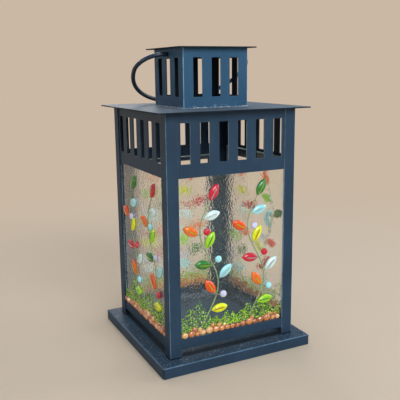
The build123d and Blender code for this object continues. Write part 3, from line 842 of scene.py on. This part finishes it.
def make_weld_line():
    """A narrow uneven weld round the foot of the chimney, on the roof plate."""
    route, thick = [], []
    half = CHIMNEY_HALF + WELD_OUT
    for side in range(4):
        turn = Matrix.Rotation(math.pi / 2 * side, 3, "Z")
        for step in range(WELD_STEPS):
            along = half * (2 * step / WELD_STEPS - 1)
            stray = noise.noise((along / 2.3, side * 7.0, 3.0))
            spot = turn @ Vector((along, -half - WELD_STRAY * stray, ROOF_TOP + WELD_LIFT))
            route.append(tuple(spot))
            lump = noise.noise((along / 1.6, side * 5.0, 8.0))
            lump += 0.6 * noise.noise((along / 7.0, side * 3.0, 1.0))
            thick.append(max(WELD_LEAST, WELD_RADIUS + WELD_SWELL * lump))
    route.append(route[0])
    thick.append(thick[0])
    points, faces = tube_form(route, thick)
    heap = Heap()
    heap.add([Vector(point) * MM for point in points], faces)
    heap.make("chimney_weld", [weld_metal], "lantern", "black_paint", sharp=75.0)


PANES = (
    ("front_pane", "front", PANEL_FACE, PANEL_WINDOW, PANEL_HEAD, "lantern"),
    ("right_pane", "right", PANEL_FACE, PANEL_WINDOW, PANEL_HEAD, "lantern"),
    ("left_pane", "left", PANEL_FACE, PANEL_WINDOW, PANEL_HEAD, "lantern"),
    ("door_pane", "back", DOOR_FACE, DOOR_WINDOW, DOOR_HEAD, "door"),
)
for order, (pane, side, face, window, head, body) in enumerate(PANES):
    make_glass(pane, side, face, body, 3.7 * order)
    dress_pane(pane, side, face, window, head, body, 2 * order + 1)
make_wire()
make_weld_line()

PAINTS = {
    "base_tray": base_paint, "roof_plate": roof_paint, "chimney_cap": cap_paint, "chimney": chimney_paint,
}
STEELS = ("lower_hinge_pin", "upper_hinge_pin", "turn_button", "turn_button_stud")
for name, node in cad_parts.items():
    if not node.hide_render:
        finish = plated_steel if name in STEELS else PAINTS.get(name, frame_paint)
        for spot in node.material_slots:
            spot.material = finish

# Floor, light and camera

FLOOR, MOTTLE, UPPER = srgb(202, 184, 164), srgb(190, 172, 152), (0.32, 0.45, 0.66, 1.0)
FLOOR_REACH = 40.0
SKY, SKY_STRENGTH = (0.80, 0.89, 1.0, 1.0), 0.22
# Where the camera stands, and its yaw, pitch and roll in degrees
CAMERA_SPOT, CAMERA_TURN = (-0.260277, -0.521294, 0.260258), (26.404, 12.035, -0.674)
LENS, SENSOR, CLIP_START, CLIP_END = 55.04, 36.0, 0.01, 200.0
# The lamps look at the middle of the lantern: name, place, width, watts and colour
AIM = (0.0, 0.0, 0.13)
LAMPS = (
    ("key", (0.0, -1.14, 0.75), 0.8, 13.8, (0.84, 0.93, 1.0)),
    ("fill", (-1.2, -0.55, 0.25), 0.12, 1.8, (1.0, 0.95, 0.88)),
    ("side", (1.3, -0.1, 0.6), 0.9, 8.0, (0.97, 0.98, 1.0)),
    ("back", (0.1, 1.2, 0.9), 1.0, 8.0, (1.0, 0.97, 0.93)),
    ("top", (-0.1, 0.1, 1.35), 1.0, 2.3, (0.93, 0.97, 1.0)),
    ("glint", (0.3, -1.3, 1.0), 0.1, 0.6, (1.0, 1.0, 1.0)),
    ("rim", (-1.1, 0.35, 0.75), 0.2, 1.0, (1.0, 0.99, 0.97)),
)


def make_floor():
    """A plain pale floor that runs out into the backdrop."""
    n = Nodes("floor")
    spot = n.add("NewGeometry").outputs["Position"]
    far = n.ramp(n.add("VectorMath", {"operation": "LENGTH"}, _0=spot).outputs["Value"], 0.25, 0.95)
    n.set(Base_Color=n.mix(n.product(n.noise(spot, 9.0, 3.0, 0.5), 0.06), FLOOR, MOTTLE))
    n.set(Roughness=0.8, Specular_IOR_Level=0.2)
    glow = n.add("Emission", Color=FLOOR, Strength=1.0).outputs[0]
    n.surface(n.add("MixShader", _0=n.product(far, n.seen()), _1=n.shader.outputs[0], _2=glow).outputs[0])
    corners = [(x * FLOOR_REACH, y * FLOOR_REACH, 0) for x, y in ((-1, -1), (1, -1), (1, 1), (-1, 1))]
    mesh = bpy.data.meshes.new("floor")
    mesh.from_pydata(corners, [], [(0, 1, 2, 3)])
    mesh.materials.append(n.material)
    floor = bpy.data.objects.new("floor", mesh)
    bpy.context.scene.collection.objects.link(floor)


def make_world():
    """An even cool sky; camera, gloss and glass see a pale backdrop in its place, which cools upwards."""
    world = bpy.data.worlds.new("studio")
    bpy.context.scene.world = world
    n = Nodes("studio", world)
    height = n.parts(n.add("TexCoord").outputs["Generated"])["Z"]
    backdrop = n.mix(n.ramp(height, 0.13, 0.34), FLOOR, UPPER)
    sky = n.add("Background", Color=SKY, Strength=SKY_STRENGTH).outputs[0]
    shown = n.add("Background", Color=backdrop, Strength=1.0).outputs[0]
    n.surface(n.add("MixShader", _0=n.seen(), _1=sky, _2=shown).outputs[0])


def make_camera():
    """The photograph's viewpoint, from the front and a little to the left, looking slightly down."""
    yaw, pitch, roll = (math.radians(angle) for angle in CAMERA_TURN)
    forward = Vector((math.sin(yaw) * math.cos(pitch), math.cos(yaw) * math.cos(pitch), -math.sin(pitch)))
    level = Vector((math.cos(yaw), -math.sin(yaw), 0.0))
    upright = level.cross(forward)
    right = math.cos(roll) * level + math.sin(roll) * upright
    up = math.cos(roll) * upright - math.sin(roll) * level
    lens = bpy.data.cameras.new("camera")
    lens.lens, lens.sensor_width, lens.clip_start, lens.clip_end = LENS, SENSOR, CLIP_START, CLIP_END
    camera = bpy.data.objects.new("camera", lens)
    turn = Matrix((right, up, -forward)).transposed().to_4x4()
    camera.matrix_world = Matrix.Translation(CAMERA_SPOT) @ turn
    bpy.context.scene.collection.objects.link(camera)
    bpy.context.scene.camera = camera


def make_lamp(name, spot, size, power, colour):
    lamp = bpy.data.lights.new(name, "AREA")
    lamp.shape, lamp.size, lamp.energy, lamp.color = "DISK", size, power, colour
    piece = bpy.data.objects.new(name, lamp)
    piece.location = spot
    piece.rotation_euler = (Vector(AIM) - Vector(spot)).to_track_quat("-Z", "Y").to_euler()
    bpy.context.scene.collection.objects.link(piece)


make_floor()
make_world()
make_camera()
for name, spot, size, power, colour in LAMPS:
    make_lamp(name, spot, size, power, colour)

bpy.context.scene.view_settings.view_transform = "Standard"
